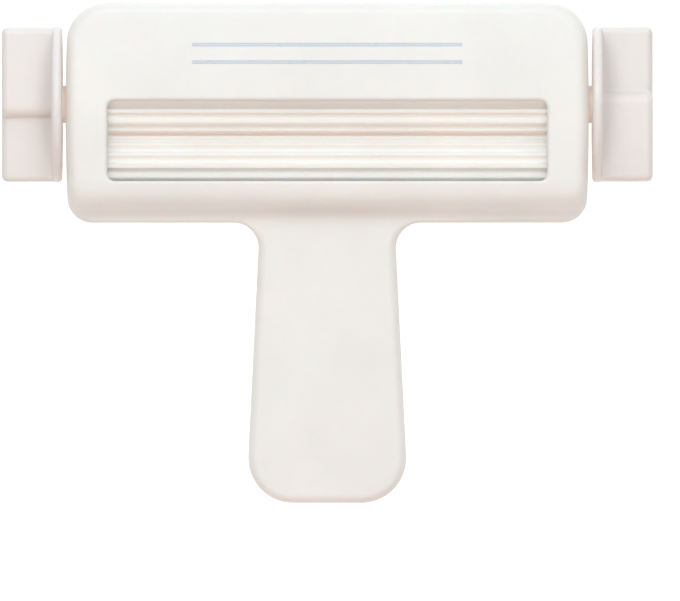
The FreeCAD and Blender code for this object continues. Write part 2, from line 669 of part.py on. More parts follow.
# Plate that closes the grip, with the well that the spring's upper end sits in
cover_inset = "cover_rebate + cover_play"
cover_plate = grip_plan("cover_plate", cover_inset, "head_bottom - shell_wall + cover_rebate - cover_play",
                        "seam_height", "cover_seat", f"grip_corner - {cover_inset}")
cover_bosses = [rod("well_wall_ring", "Z", "seam_height", "spring_top + well_wall",
                    ("0", "spring_y"), "well_radius + well_wall")]
cover_cuts = [rod("well_bore", "Z", "seam_height - 1", "spring_top", ("0", "spring_y"), "well_radius")]
for i, y in enumerate(COVER_SCREWS):
    cover_bosses.append(rod(f"cover_pad_{i}", "Z", "seam_height", "pad_top", ("0", y), "case_boss"))
    cover_cuts.append(rod(f"cover_hole_{i}", "Z", "seam_height - 1", "pad_top + 1", ("0", y),
                          "case_screw_radius + run_play * 3"))
    cover_cuts.append(rod(f"cover_well_{i}", "Z", "seam_height - 1", "screw_seat", ("0", y),
                          "case_screw_head + run_play * 4"))
cover_bossed = join("cover_bossed", [cover_plate] + cover_bosses)
part("grip_back_cover", cut("grip_cover", cover_bossed, cover_cuts))


# Rollers

def ribbed(name, half):
    """Roller body along X with a round-crested rib at equal angles; one groove lies towards +Y."""
    body = doc.addObject("PartDesign::Body", name)
    plane = origin_feature(body, "YZ_Plane")
    disc = body.newObject("Sketcher::SketchObject", name + "_disc")
    disc.AttachmentSupport = [(plane, "")]
    disc.MapMode = "FlatFace"
    disc.addGeometry(Part.Circle(Vector(), UNIT["Z"], number("crest_radius")))
    disc.addConstraint(Sketcher.Constraint("Coincident", 0, 3, -1, 1))
    held = disc.addConstraint(Sketcher.Constraint("Radius", 0, number("crest_radius")))
    disc.setExpression(f"Constraints[{held}]", bound("crest_radius"))
    core = body.newObject("PartDesign::Pad", name + "_core")
    core.Profile = disc
    core.SideType = "Symmetric"
    bind(core, "Length", f"2 * ({half})")

    valley = "root_radius + valley_round"
    foot_r = f"{valley} - valley_round * sin(flank_angle)"
    foot_w = "valley_round * cos(flank_angle)"
    mouth_r = "crest_radius + valley_round"
    mouth_w = f"{foot_w} + ({mouth_r} - ({foot_r})) * tan(flank_angle)"
    sketch = body.newObject("Sketcher::SketchObject", name + "_groove")
    sketch.AttachmentSupport = [(plane, "")]
    sketch.MapMode = "FlatFace"
    draw(sketch, [(foot_r, f"-({foot_w})"), (mouth_r, f"-({mouth_w})"), (mouth_r, mouth_w),
                  (foot_r, foot_w), ("root_radius", "0")],
         {3: "valley_round", 4: "valley_round"})
    groove = body.newObject("PartDesign::Pocket", name + "_groove_cut")
    groove.Profile = sketch
    groove.SideType = "Symmetric"
    bind(groove, "Length", f"2 * ({half}) + 2")
    doc.recompute()
    grooves = body.newObject("PartDesign::PolarPattern", name + "_grooves")
    grooves.Originals = [groove]
    grooves.Axis = (origin_feature(body, "X_Axis"), [""])
    grooves.Angle = 360
    bind(grooves, "Occurrences", "tooth_count")
    body.Tip = grooves
    doc.recompute()
    crests = []
    for i, edge in enumerate(grooves.Shape.Edges, 1):
        point = middle(edge)
        if runs(edge, "X") and math.hypot(point.y, point.z) > number("crest_radius") - 0.01:
            crests.append(f"Edge{i}")
    fillet = body.newObject("PartDesign::Fillet", name + "_crests")
    fillet.Base = (grooves, crests)
    bind(fillet, "Radius", "crest_round")
    body.Tip = fillet
    return body


roller_axis = ("0", "0")
drive_hubs = rod("drive_hubs", "X", "-roller_half - hub_length", "roller_half + hub_length",
                 roller_axis, "hub_radius")
drive_core = join("drive_core", [ribbed("drive_ribs", "roller_half"), drive_hubs])
drive_bore = rod("drive_bore", "X", "-washer_face - 1", "washer_face + 1", roller_axis,
                 "shaft_radius + press_play")
pin_x = "roller_half + hub_length / 2"
drive_pin_holes = [rod(f"drive_pin_hole_{i}", "Z", "-hub_radius - 1", "hub_radius + 1", (x, "0"),
                       "roll_pin_radius + press_play")
                   for i, x in enumerate((pin_x, f"-({pin_x})"))]
drive_roller = cut("drive_cut", drive_core, [drive_bore] + drive_pin_holes)
part("drive_roller", place_turned(drive_roller, "drive_y", "drive_z", "drive_turn"))

idler_bore = rod("idler_bore", "X", "-cheek_face", "cheek_face", roller_axis,
                 "idler_bush_radius + press_play")
idler_roller = cut("idler_cut", ribbed("idler_ribs", "roller_half"), [idler_bore])
part("idler_roller", place_turned(idler_roller, "idler_y", "idler_z", "idler_turn"))

# Drive shaft with a flat and a tapped hole at each end, and the parts on it
tap = "knob_screw_radius + press_play"
tap_floor = "shaft_half - knob_screw_depth - 1"
shaft_turn = turned("shaft_turn", [
    ("-shaft_half", tap), (f"-({tap_floor})", tap), (f"-({tap_floor})", "0"), (tap_floor, "0"),
    (tap_floor, tap), ("shaft_half", tap), ("shaft_half", "shaft_radius - shaft_chamfer"),
    ("shaft_half - shaft_chamfer", "shaft_radius"), ("-shaft_half + shaft_chamfer", "shaft_radius"),
    ("-shaft_half", "shaft_radius - shaft_chamfer")])
flat_z = "shaft_radius - shaft_flat"
shaft_cuts = [box("shaft_flat_right", ("knob_face", "shaft_half + 1"),
                  ("-shaft_radius - 1", "shaft_radius + 1"), (flat_z, "shaft_radius + 1")),
              box("shaft_flat_left", ("-shaft_half - 1", "-knob_face"),
                  ("-shaft_radius - 1", "shaft_radius + 1"), ("-shaft_radius - 1", f"-({flat_z})"))]
for i, x in enumerate((pin_x, f"-({pin_x})")):
    hole = rod(f"shaft_pin_hole_{i}", "Z", "-hub_radius", "hub_radius", (x, "0"),
               "roll_pin_radius + press_play")
    shaft_cuts.append(place_turned(group(f"shaft_pin_cross_{i}", [hole]), "0", "0", "drive_turn"))
part("drive_shaft", place(cut("shaft_cut", shaft_turn, shaft_cuts), "0", "drive_y", "drive_z"))

roll_pins = group("roll_pins", [
    rod(f"roll_pin_{i}", "Z", "-hub_radius + press_play", "hub_radius - press_play", (x, "0"),
        "roll_pin_radius") for i, x in enumerate((pin_x, f"-({pin_x})"))])
part("drive_roller_pins", place_turned(roll_pins, "drive_y", "drive_z", "drive_turn"))

washer = turned("washer", [
    ("washer_face", "shaft_radius + press_play"), ("washer_face + washer_thick", "shaft_radius + press_play"),
    ("washer_face + washer_thick", "bush_flange"), ("washer_face", "bush_flange")])
part("thrust_washers", place(group("washer_pair", [washer, mirrored("washer_left", washer)]),
                             "0", "drive_y", "drive_z"))

bush = turned("bush", [
    ("bush_face", "shaft_radius + run_play"), ("bush_end", "shaft_radius + run_play"),
    ("bush_end", "bush_radius"), ("bush_seat", "bush_radius"), ("bush_seat", "bush_flange"),
    ("bush_face", "bush_flange")])
part("drive_bush_right", place(bush, "0", "drive_y", "drive_z"))
part("drive_bush_left", mirrored("bush_left", bush))

# Lower roller's bushes, axle and retaining rings
idler_bush = turned("idler_bush", [
    ("roller_half - idler_bush_length", "axle_radius + run_play"),
    ("cheek_face - face_play", "axle_radius + run_play"),
    ("cheek_face - face_play", "idler_bush_flange"), ("roller_half", "idler_bush_flange"),
    ("roller_half", "idler_bush_radius"), ("roller_half - idler_bush_length", "idler_bush_radius")])
part("idler_bush_right", place(idler_bush, "0", "idler_y", "idler_z"))
part("idler_bush_left", mirrored("idler_bush_mirror", idler_bush))
groove_end = "clip_face + clip_thick"
neck_radius = "axle_radius - clip_groove"
half_axle = [("axle_half", "0"), ("axle_half", "axle_radius - shaft_chamfer"),
             ("axle_half - shaft_chamfer", "axle_radius"), (groove_end, "axle_radius"),
             (groove_end, neck_radius), ("clip_face", neck_radius), ("clip_face", "axle_radius")]
other_half = [(f"-({x})", r) for x, r in reversed(half_axle)]
part("idler_axle", place(turned("axle_turn", half_axle + other_half), "0", "idler_y", "idler_z"))


def retaining_ring(name, low, shaft_neck, radius):
    """Open ring in a groove, with its gap towards the back."""
    ring = turned(name + "_ring", [
        (low, shaft_neck), (f"{low} + clip_thick", shaft_neck),
        (f"{low} + clip_thick", radius), (low, radius)])
    mouth = box(name + "_mouth", (f"{low} - 1", f"{low} + clip_thick + 1"),
                (f"-({shaft_neck}) * 0.8", f"({shaft_neck}) * 0.8"), (f"-({radius}) - 1", "0"))
    return cut(name, ring, [mouth])


idler_clip = retaining_ring("idler_clip", "clip_face", f"{neck_radius} + press_play", "clip_radius")
part("idler_clips", place(group("idler_clip_pair", [idler_clip, mirrored("idler_clip_left", idler_clip)]),
                          "0", "idler_y", "idler_z"))

# Lever: paddle, neck, beam and two cheeks in one moulding
paddle_top = "head_bottom - lever_inset"
lever_high = "lever_low + lever_thick"
paddle = grip_plan("paddle", "lever_inset", paddle_top, "lever_low", lever_high,
                   "grip_corner - lever_inset")
paddle_outer = rounded("paddle_outer", paddle, "lever_round",
                       lambda edge: middle(edge).z < number("lever_low") + 0.01
                       and not (runs(edge, "X") and middle(edge).y > 0))
paddle_hollow = grip_plan("paddle_hollow", "lever_inset + lever_wall", f"{paddle_top} - lever_wall",
                          "spring_bottom", f"{lever_high} + 1", "grip_corner - lever_inset - lever_wall")
paddle_shell = cut("paddle_shell", paddle_outer, [paddle_hollow])
paddle_ribs = []
for i in range(3):
    y = f"spring_y - rib_pitch * {i + 1} + rib_pitch / 4"
    half = f"grip_neck_half + (grip_end_half - grip_neck_half) / (head_bottom - grip_end) \
* (head_bottom - ({y})) - lever_inset - lever_wall / 2"
    paddle_ribs.append(box(f"paddle_rib_{i}", (f"-({half})", half),
                           (f"{y} - rib_thick / 2", f"{y} + rib_thick / 2"),
                           ("spring_bottom - 1", f"{lever_high} - rib_thick")))
neck = box("neck", ("-neck_half", "neck_half"), (f"{paddle_top} - lever_wall", "beam_bottom + 1"),
           ("neck_low", lever_high))
beam = box("beam", ("-cheek_back", "cheek_back"), ("beam_bottom", "beam_bottom + beam_height"),
           ("beam_low", "beam_low + beam_thick"))
cheeks = []
for side, sign in (("right", ""), ("left", "-")):
    ends = ("cheek_face", "cheek_back") if not sign else ("-cheek_back", "-cheek_face")
    cheeks.append(rod(f"cheek_axle_{side}", "X", *ends, ("idler_y", "idler_z"), "cheek_round"))
    cheeks.append(rod(f"cheek_pivot_{side}", "X", *ends, ("pivot_y", "pivot_z"), "cheek_round"))
    cheeks.append(slab(f"cheek_plate_{side}", "YZ", [
        ("beam_bottom", "beam_low"), ("beam_bottom + beam_height", "beam_low"),
        ("pivot_y", "pivot_z - cheek_round"), ("pivot_y + cheek_round", "pivot_z"),
        ("idler_y + cheek_round", "idler_z"), ("idler_y - cheek_round", "idler_z"),
        ("beam_bottom", "beam_low + beam_thick")], *ends))
post = rod("spring_post", "Z", "spring_bottom - 1", "spring_bottom + post_height", ("0", "spring_y"),
           "post_radius")
lever_solid = join("lever_solid", [paddle_shell, neck, beam, post] + paddle_ribs + cheeks)
lever_holes = [rod("axle_hole", "X", "-cheek_back - 1", "cheek_back + 1", ("idler_y", "idler_z"),
                   "axle_radius + press_play"),
               rod("pivot_hole", "X", "-cheek_back - 1", "cheek_back + 1", ("pivot_y", "pivot_z"),
                   "pivot_radius + run_play")]
part("squeeze_lever", cut("lever", lever_solid, lever_holes))

# Pivot pins, pushed in from the sides, and their retaining rings
pin_end = "pivot_clip - face_play - clip_thick"
pin_out = "side_face - side_bow"
pin_neck = "pivot_radius - clip_groove"
pivot_pin = turned("pivot_pin", [
    (pin_end, "0"), (pin_out, "0"), (pin_out, "pivot_head"),
    (f"{pin_out} - pivot_head_thick", "pivot_head"), (f"{pin_out} - pivot_head_thick", "pivot_radius"),
    ("pivot_clip + clip_thick", "pivot_radius"), ("pivot_clip + clip_thick", pin_neck),
    ("pivot_clip", pin_neck), ("pivot_clip", "pivot_radius"), (pin_end, "pivot_radius")])
part("pivot_pin_right", place(pivot_pin, "0", "pivot_y", "pivot_z"))
part("pivot_pin_left", mirrored("pivot_pin_mirror", pivot_pin))
pivot_ring = retaining_ring("pivot_ring", "pivot_clip", f"{pin_neck} + press_play", "clip_radius")
part("pivot_clips", place(group("pivot_ring_pair", [pivot_ring, mirrored("pivot_ring_left", pivot_ring)]),
                          "0", "pivot_y", "pivot_z"))


# Winged knobs: the same moulding at each end, one turned half round

def knob(name):
    """Knob along +X from its face at 0: flange, two offset wings, collar, bore and screw well."""
    flange = rod(name + "_flange_disc", "X", "0", "knob_flange", ("0", "0"), "knob_radius")
    flange_round = rounded(name + "_flange", flange, "knob_edge",
                           lambda edge: isinstance(edge.Curve, Part.Circle))
    reach = "knob_radius + 1"
    z_shape = join(name + "_z", [
        box(name + "_low_wing", ("knob_flange / 2", "knob_length"),
            (f"-({reach})", "wing_overlap"), ("-wing_back", "wing_front")),
        box(name + "_high_wing", ("knob_flange / 2", "knob_length"),
            ("-wing_overlap", reach), ("-wing_front", "wing_back"))])
    tips = rod(name + "_tips", "X", "0", "knob_length", ("0", "0"), "knob_radius - wing_inset")
    wings = common(name + "_wings", [z_shape, tips])

    def wing_size(point):
        """Rounding of an edge along X: the step's shoulder and foot, or a wing's own edge."""
        at_step = abs(abs(point.y) - number("wing_overlap")) < 0.01
        if not at_step:
            return number("wing_round")
        return number("wing_shoulder" if abs(point.z) > number("wing_back") + 0.1 else "wing_foot")

    along = rounded_by_place(name + "_wings_along", wings, lambda edge: runs(edge, "X"), wing_size)
    ends = rounded(name + "_wings_end", along, "wing_round * 0.95",
                   lambda edge: middle(edge).x > number("knob_length") - 0.01)
    collar = rod(name + "_collar", "X", "bush_end + face_play - knob_face", "knob_flange / 2",
                 ("0", "0"), "neck_collar")
    solid = join(name + "_solid", [flange_round, ends, collar])
    bore_round = rod(name + "_bore_round", "X", "-knob_gap", "shaft_grip + face_play", ("0", "0"),
                     "shaft_radius + press_play")
    bore_flat = box(name + "_bore_flat", ("0", "shaft_grip + 1"),
                    ("-shaft_radius - 1", "shaft_radius + 1"),
                    (f"{flat_z} + press_play", "shaft_radius + 1"))
    bore = cut(name + "_bore", bore_round, [bore_flat])
    hole = rod(name + "_hole", "X", "shaft_grip", "knob_length", ("0", "0"),
               "knob_screw_radius + run_play")
    well = rod(name + "_well", "X", "knob_length - knob_recess", "knob_length + 1", ("0", "0"),
               "knob_recess_radius")
    return cut(name, solid, [bore, hole, well])


def screw(name, shank, head, length):
    """Cross-slotted screw along +X with the underside of its head at 0 and its shank towards -X."""
    body = turned(name + "_turn", [
        (f"-({length})", "0"), ("screw_head_tall", "0"), ("screw_head_tall", f"{head} * 0.8"),
        ("screw_head_tall * 0.6", head), ("0", head), ("0", shank),
        (f"-({length}) + shaft_chamfer", shank), (f"-({length})", f"{shank} - shaft_chamfer")])
    slots = []
    for way in ("y", "z"):
        long = (f"-({head}) * 0.55", f"({head}) * 0.55")
        short = ("-slot_width / 2", "slot_width / 2")
        slots.append(box(f"{name}_slot_{way}", ("screw_head_tall - slot_depth", "screw_head_tall + 1"),
                         long if way == "y" else short, short if way == "y" else long))
    return cut(name, body, slots)


for side, sign, turn in (("right", "", Rotation()), ("left", "-", Rotation(UNIT["Y"], 180))):
    part("knob_" + side, place(knob("knob_" + side + "_body"), sign + "(knob_face)",
                               "drive_y", "drive_z", turn))
knob_screw_x = "knob_face + knob_length - knob_recess"
knob_screws = []
for side, sign, turn in (("right", "", Rotation()), ("left", "-", Rotation(UNIT["Y"], 180))):
    one = screw(f"knob_screw_{side}", "knob_screw_radius", "knob_screw_head",
                "knob_length - knob_recess - shaft_grip + knob_screw_depth")
    knob_screws.append(place(one, f"{sign}({knob_screw_x})", "drive_y", "drive_z", turn))
part("knob_screws", group("knob_screw_pair", knob_screws))

case_screws = []
for i, (x, y) in enumerate(CASE_SCREWS):
    one = screw(f"case_screw_{i}", "case_screw_radius", "case_screw_head",
                "seam_height + case_screw_bite - case_recess")
    case_screws.append(place(one, x, y, "case_recess", Rotation(UNIT["Y"], 90)))
part("housing_screws", group("case_screw_set", case_screws))
cover_screws = []
for i, y in enumerate(COVER_SCREWS):
    one = screw(f"cover_screw_{i}", "case_screw_radius", "case_screw_head",
                "pad_top - screw_seat + seam_gap + cover_screw_bite")
    cover_screws.append(place(one, "0", y, "screw_seat", Rotation(UNIT["Y"], 90)))
part("grip_cover_screws", group("cover_screw_set", cover_screws))


# Return spring: one wire along a helix, with a straight leg at each end that stands on its seat

def biarc(start, start_way, end, end_way):
    """Two arcs in space that leave start and reach end along the given unit directions."""
    span = end - start
    both = start_way + end_way
    square = 2 * (1 - start_way.dot(end_way))
    along = span.dot(both)
    reach = (math.sqrt(along ** 2 + square * span.dot(span)) - along) / square
    first, second = start + start_way * reach, end - end_way * reach
    joint = (first + second) / 2
    edges = []
    for a, apex, b in ((start, first, joint), (joint, second, end)):
        half = (b - a).Length / 2
        foot = (a + b) / 2
        rise = (apex - foot).Length
        sagitta = half * math.tan(math.atan2(rise, half) / 2)
        edges.append(Part.Arc(a, foot + (apex - foot).normalize() * sagitta, b).toShape())
    return edges


def spring_shape():
    """Solid of the spring, and the least gap between its turns."""
    coil, wire = number("spring_coil"), number("spring_wire")
    bottom, top = number("spring_bottom"), number("spring_top")
    turns = int(number("spring_turns"))
    leg, bend = wire, 2.2 * wire
    low, high = bottom + leg + bend, top - leg - bend
    rise = (high - low) / turns
    slope = math.atan2(rise, 2 * math.pi * coil)
    centre = Vector(0, number("spring_y"), 0)

    def on_coil(angle, height):
        return centre + Vector(coil * math.cos(angle), coil * math.sin(angle), height)

    def way(angle):
        flat = Vector(-math.sin(angle), math.cos(angle), 0)
        return flat * math.cos(slope) + UNIT["Z"] * math.sin(slope)

    lead = bend / coil
    foot = on_coil(-lead, bottom)
    knee = on_coil(-lead, bottom + leg)
    edges = [Part.makeLine(foot, knee)]
    edges += biarc(knee, UNIT["Z"], on_coil(0, low), way(0))
    quarters = 4 * turns
    for i in range(quarters):
        a, b = i * math.pi / 2, (i + 1) * math.pi / 2
        edges += biarc(on_coil(a, low + rise * i / 4), way(a), on_coil(b, low + rise * (i + 1) / 4), way(b))
    last = quarters * math.pi / 2
    hip = on_coil(last + lead, top - leg)
    edges += biarc(on_coil(last, high), way(last), hip, UNIT["Z"])
    edges.append(Part.makeLine(hip, on_coil(last + lead, top)))
    path = Part.Wire(edges)
    section = Part.Wire([Part.makeCircle(wire / 2, foot, UNIT["Z"])])
    solid = path.makePipeShell([section], True, False)

    points = path.discretize(Distance=0.5)
    apart = int(2 * math.pi * coil / 2 / 0.5)
    gap = min((p - q).Length for i, p in enumerate(points) for q in points[i + apart:]) - wire
    print(f"return_spring: volume {solid.Volume:.1f}, section times length "
          f"{math.pi * wire ** 2 / 4 * path.Length:.1f}, least gap between turns {gap:.2f} mm")
    return solid


spring = doc.addObject("Part::Feature", "spring")
spring.Shape = spring_shape()
spring.Placement = Placement()
part("return_spring", spring)

# Everything is checked before anything is written
doc.recompute()
faults = []
for item in doc.Objects:
    if {"Invalid", "Error"} & set(item.State):
        faults.append(f"{item.Name}: {item.State}")
for label, item in PARTS.items():
    if item.Shape.isNull() or not item.Shape.isValid() or not item.Shape.Solids:
        faults.append(f"{label}: bad shape")
if faults:
    raise RuntimeError("; ".join(faults))

os.makedirs("parts", exist_ok=True)
for label, item in PARTS.items():
    item.Shape.exportStep(f"parts/{label}.step")
    print(f"{label}: {len(item.Shape.Solids)} solid(s), {item.Shape.Volume / 1000:.2f} cm3")
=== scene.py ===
"""Dresses the hand paper crimper: a finish for each piece, its wound return spring, and a small studio."""
import logging
import math
from dataclasses import dataclass, field
from enum import Enum
from typing import Any

import bmesh
import bpy
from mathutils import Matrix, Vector


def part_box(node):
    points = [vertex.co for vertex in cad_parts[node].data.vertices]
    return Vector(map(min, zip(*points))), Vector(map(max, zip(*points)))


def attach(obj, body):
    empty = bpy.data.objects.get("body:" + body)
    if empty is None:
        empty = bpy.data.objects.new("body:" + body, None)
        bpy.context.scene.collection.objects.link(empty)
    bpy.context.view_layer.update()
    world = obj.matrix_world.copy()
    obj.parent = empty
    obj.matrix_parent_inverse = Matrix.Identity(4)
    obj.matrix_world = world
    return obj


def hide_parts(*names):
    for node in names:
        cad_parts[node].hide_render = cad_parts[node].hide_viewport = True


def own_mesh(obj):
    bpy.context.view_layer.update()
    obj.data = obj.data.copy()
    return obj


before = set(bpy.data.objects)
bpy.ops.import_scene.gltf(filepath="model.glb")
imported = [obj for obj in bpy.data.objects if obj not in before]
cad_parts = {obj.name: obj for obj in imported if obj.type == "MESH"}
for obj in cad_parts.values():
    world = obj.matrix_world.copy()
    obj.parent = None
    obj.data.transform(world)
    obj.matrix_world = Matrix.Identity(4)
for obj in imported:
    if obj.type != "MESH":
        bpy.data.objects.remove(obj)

LOG = logging.getLogger("crimper")

Colour = tuple[float, float, float]
Place = tuple[float, float, float]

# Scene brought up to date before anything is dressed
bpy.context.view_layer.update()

# Photograph's width and height, and the pixel that lies over the frame's origin
PHOTO_PIXELS = (680, 601)
ORIGIN_PIXEL = (327.25, 253.0)

# Metres on the part that one pixel of the photograph covers
PIXEL_SIZE = 0.00038

# Point of the head that the soft lights are turned to, in metres
AIM = Vector((0, 0.04, 0.02))

# Distance between shader nodes in the editor
NODE_GAP = 220

# Values between which most of a noise texture lies
NOISE_RANGE = (0.3, 0.7)

BLACK: Colour = (0.0, 0.0, 0.0)
WHITE: Colour = (1.0, 1.0, 1.0)


class Slot(str, Enum):
    """Material slots of the record that the finishes are made for."""

    SHELL = "shell"
    STRIPE = "stripe"
    LEVER = "lever"
    KNOB = "knob"
    ROLLER = "roller"
    BUSH = "bush"
    SHAFT = "shaft_steel"
    FASTENER = "fastener_steel"
    SPRING = "spring_steel"


class Graph:
    """Places and joins the nodes of one shader tree."""

    def __init__(self, tree: bpy.types.NodeTree) -> None:
        """Empty the tree and start placing nodes from the left.

        Args:
            tree: Node tree of a material, a world or a group.
        """
        self.tree = tree
        self.column = 0
        tree.nodes.clear()

    def add(self, kind: str, inputs: dict[Any, Any] | None = None, **settings: Any) -> bpy.types.Node:
        """Add one node, set its properties, and fill or join its inputs.

        Args:
            kind: Blender's name of the node type.
            inputs: Name or number of each socket, with its value or the socket that feeds it.
            **settings: Properties of the node, set before its inputs.

        Returns:
            The new node.
        """
        node = self.tree.nodes.new(kind)
        node.location = (NODE_GAP * self.column, 0)
        self.column += 1
        for name, value in settings.items():
            setattr(node, name, value)
        for name, value in (inputs or {}).items():
            if isinstance(value, bpy.types.NodeSocket):
                self.tree.links.new(value, node.inputs[name])
            else:
                node.inputs[name].default_value = value
        return node

    def feed(self, node: bpy.types.Node, sockets: dict[str, bpy.types.NodeSocket]) -> None:
        """Join sockets to the inputs of a node.

        Args:
            node: Node that takes them.
            sockets: Name of each input, with the socket that feeds it.
        """
        for name, socket in sockets.items():
            self.tree.links.new(socket, node.inputs[name])

    def math(self, operation: str, first: Any, second: Any = 0.0) -> bpy.types.NodeSocket:
        """Value of a sum, product or other operation on two values.

        Args:
            operation: Blender's name of the operation.
            first: First value or the socket that gives it.
            second: Second value or the socket that gives it.

        Returns:
            The socket of the result.
        """
        return self.add("ShaderNodeMath", {0: first, 1: second}, operation=operation).outputs[0]

    def tone(self, share: Any, first: Any, second: Any) -> bpy.types.NodeSocket:
        """Colour between two colours.

        Args:
            share: How much of the second colour, from 0 to 1.
            first: Colour, or the socket that gives it.
            second: Colour, or the socket that gives it.

        Returns:
            The socket of the mixed colour.
        """
        ends = []
        for value in (first, second):
            ends.append(value if isinstance(value, bpy.types.NodeSocket) else (*value, 1.0))
        mixed = self.add("ShaderNodeMix", {0: share, 6: ends[0], 7: ends[1]}, data_type="RGBA")
        return mixed.outputs[2]

    def spread(
        self, value: Any, low: float, high: float, to_low: float = 0.0, to_high: float = 1.0
    ) -> bpy.types.NodeSocket:
        """Value moved from one range to another, and kept inside it.

        Args:
            value: Socket to read.
            low: Lower end of what is read.
            high: Upper end of what is read.
            to_low: What the lower end becomes.
            to_high: What the upper end becomes.

        Returns:
            The socket of the result.
        """
        inputs = {"Value": value, "From Min": low, "From Max": high, "To Min": to_low, "To Max": to_high}
        return self.add("ShaderNodeMapRange", inputs, clamp=True).outputs[0]


def make_group(
    name: str, inputs: dict[str, tuple[str, float]], outputs: dict[str, str]
) -> tuple[Graph, bpy.types.Node, bpy.types.Node]:
    """Start a shader node group that several materials share.

    Args:
        name: Name of the group.
        inputs: Name of each input, with its socket type and first value.
        outputs: Name of each output, with its socket type.

    Returns:
        The graph to fill, the node that gives the inputs, and the node that takes the outputs.
    """
    tree = bpy.data.node_groups.new(name, "ShaderNodeTree")
    for label, (kind, value) in inputs.items():
        socket = tree.interface.new_socket(label, in_out="INPUT", socket_type=kind)
        socket.default_value = value
    for label, kind in outputs.items():
        tree.interface.new_socket(label, in_out="OUTPUT", socket_type=kind)
    graph = Graph(tree)
    return graph, graph.add("NodeGroupInput"), tree.nodes.new("NodeGroupOutput")


class Effects:
    """Shader node groups for what the finishes have in common."""

    FLOAT = "NodeSocketFloat"
    VECTOR = "NodeSocketVector"

    def __init__(self) -> None:
        """Build each group once."""
        self.skin = self.moulded_skin()
        self.edges = self.softened_edges()
        self.hollows = self.shaded_hollows()
        self.drawn = self.drawn_metal()

    def moulded_skin(self) -> bpy.types.NodeTree:
        """Fine eroded texture of a steel mould, with broad clouds of tone.

        Returns:
            The node group.
        """
        inputs = {"Grain": (self.FLOAT, 5000.0), "Cloud": (self.FLOAT, 30.0)}
        outputs = {"Height": self.FLOAT, "Cloud": self.FLOAT, "Sheen": self.FLOAT}
        graph, given, made = make_group("moulded_skin", inputs, outputs)
        pit_share = 0.6
        sheen_patches_per_cloud = 7.0
        place = graph.add("ShaderNodeTexCoord").outputs["Object"]
        pits = graph.add("ShaderNodeTexVoronoi", {"Vector": place, "Scale": given.outputs["Grain"]})
        fine = {"Vector": place, "Scale": given.outputs["Grain"], "Detail": 3.0, "Roughness": 0.6}
        grain = graph.add("ShaderNodeTexNoise", fine)
        pitted = graph.math("MULTIPLY", pits.outputs["Distance"], pit_share)
        height = graph.math("ADD", pitted, grain.outputs[0])
        broad = {"Vector": place, "Scale": given.outputs["Cloud"], "Detail": 4.0, "Roughness": 0.55}
        cloud = graph.add("ShaderNodeTexNoise", broad)
        middle = graph.math("MULTIPLY", given.outputs["Cloud"], sheen_patches_per_cloud)
        sheen = graph.add("ShaderNodeTexNoise", {"Vector": place, "Scale": middle, "Detail": 5.0})
        graph.feed(made, {"Height": height, "Cloud": cloud.outputs[0], "Sheen": sheen.outputs[0]})
        return graph.tree

    def softened_edges(self) -> bpy.types.NodeTree:
        """Rounded normal and a mask along the sharp edges, broken up by fine noise.

        Returns:
            The node group.
        """
        inputs = {"Radius": (self.FLOAT, 0.0004)}
        outputs = {"Normal": self.VECTOR, "Edge": self.FLOAT}
        graph, given, made = make_group("softened_edges", inputs, outputs)
        edge_begins, edge_full = 0.995, 0.8
        scuffs_per_metre = 420.0
        bare, scuffed, bare_share = 0.42, 0.62, 0.25
        rounded = graph.add("ShaderNodeBevel", {"Radius": given.outputs["Radius"]}, samples=4).outputs[0]
        plain = graph.add("ShaderNodeNewGeometry").outputs["Normal"]
        dot = graph.add("ShaderNodeVectorMath", {0: rounded, 1: plain}, operation="DOT_PRODUCT")
        edge = graph.spread(dot.outputs["Value"], edge_begins, edge_full)
        place = graph.add("ShaderNodeTexCoord").outputs["Object"]
        scuff = graph.add("ShaderNodeTexNoise", {"Vector": place, "Scale": scuffs_per_metre, "Detail": 6.0})
        broken = graph.spread(scuff.outputs[0], bare, scuffed, to_low=bare_share)
        graph.feed(made, {"Normal": rounded, "Edge": graph.math("MULTIPLY", edge, broken)})
        return graph.tree

    def shaded_hollows(self) -> bpy.types.NodeTree:
        """Masks that grow in corners, gaps and grooves, where little light gets in; the moulded finishes
        paint shade and a faint glow there with them.

        Returns:
            The node group.
        """
        inputs = {"Reach": (self.FLOAT, 0.003)}
        outputs = {"Hollow": self.FLOAT, "Shade": self.FLOAT}
        graph, given, made = make_group("shaded_hollows", inputs, outputs)
        hollow_begins, hollow_full = 0.6, 0.0
        shade_begins, shade_full = 0.95, 0.2
        open_sky = graph.add("ShaderNodeAmbientOcclusion", {"Distance": given.outputs["Reach"]}, samples=8)
        painted_hollow_shade = graph.spread(open_sky.outputs["AO"], hollow_begins, hollow_full)
        shade = graph.spread(open_sky.outputs["AO"], shade_begins, shade_full)
        graph.feed(made, {"Hollow": painted_hollow_shade, "Shade": shade})
        return graph.tree

    def drawn_metal(self) -> bpy.types.NodeTree:
        """Fine lines that run along X, as on drawn or turned steel.

        Returns:
            The node group.
        """
        inputs = {"Lines": (self.FLOAT, 4000.0), "Along": (self.FLOAT, 0.02)}
        outputs = {"Height": self.FLOAT, "Cloud": self.FLOAT}
        graph, given, made = make_group("drawn_metal", inputs, outputs)
        clouds_per_metre = 160.0
        place = graph.add("ShaderNodeTexCoord").outputs["Object"]
        pull = graph.add("ShaderNodeCombineXYZ", {"X": given.outputs["Along"], "Y": 1.0, "Z": 1.0})
        drawn = graph.add("ShaderNodeVectorMath", {0: place, 1: pull.outputs[0]}, operation="MULTIPLY")
        fine = {"Vector": drawn.outputs[0], "Scale": given.outputs["Lines"], "Detail": 3.0}
        lines = graph.add("ShaderNodeTexNoise", fine)
        cloud = graph.add("ShaderNodeTexNoise", {"Vector": place, "Scale": clouds_per_metre, "Detail": 5.0})
        graph.feed(made, {"Height": lines.outputs[0], "Cloud": cloud.outputs[0]})
        return graph.tree


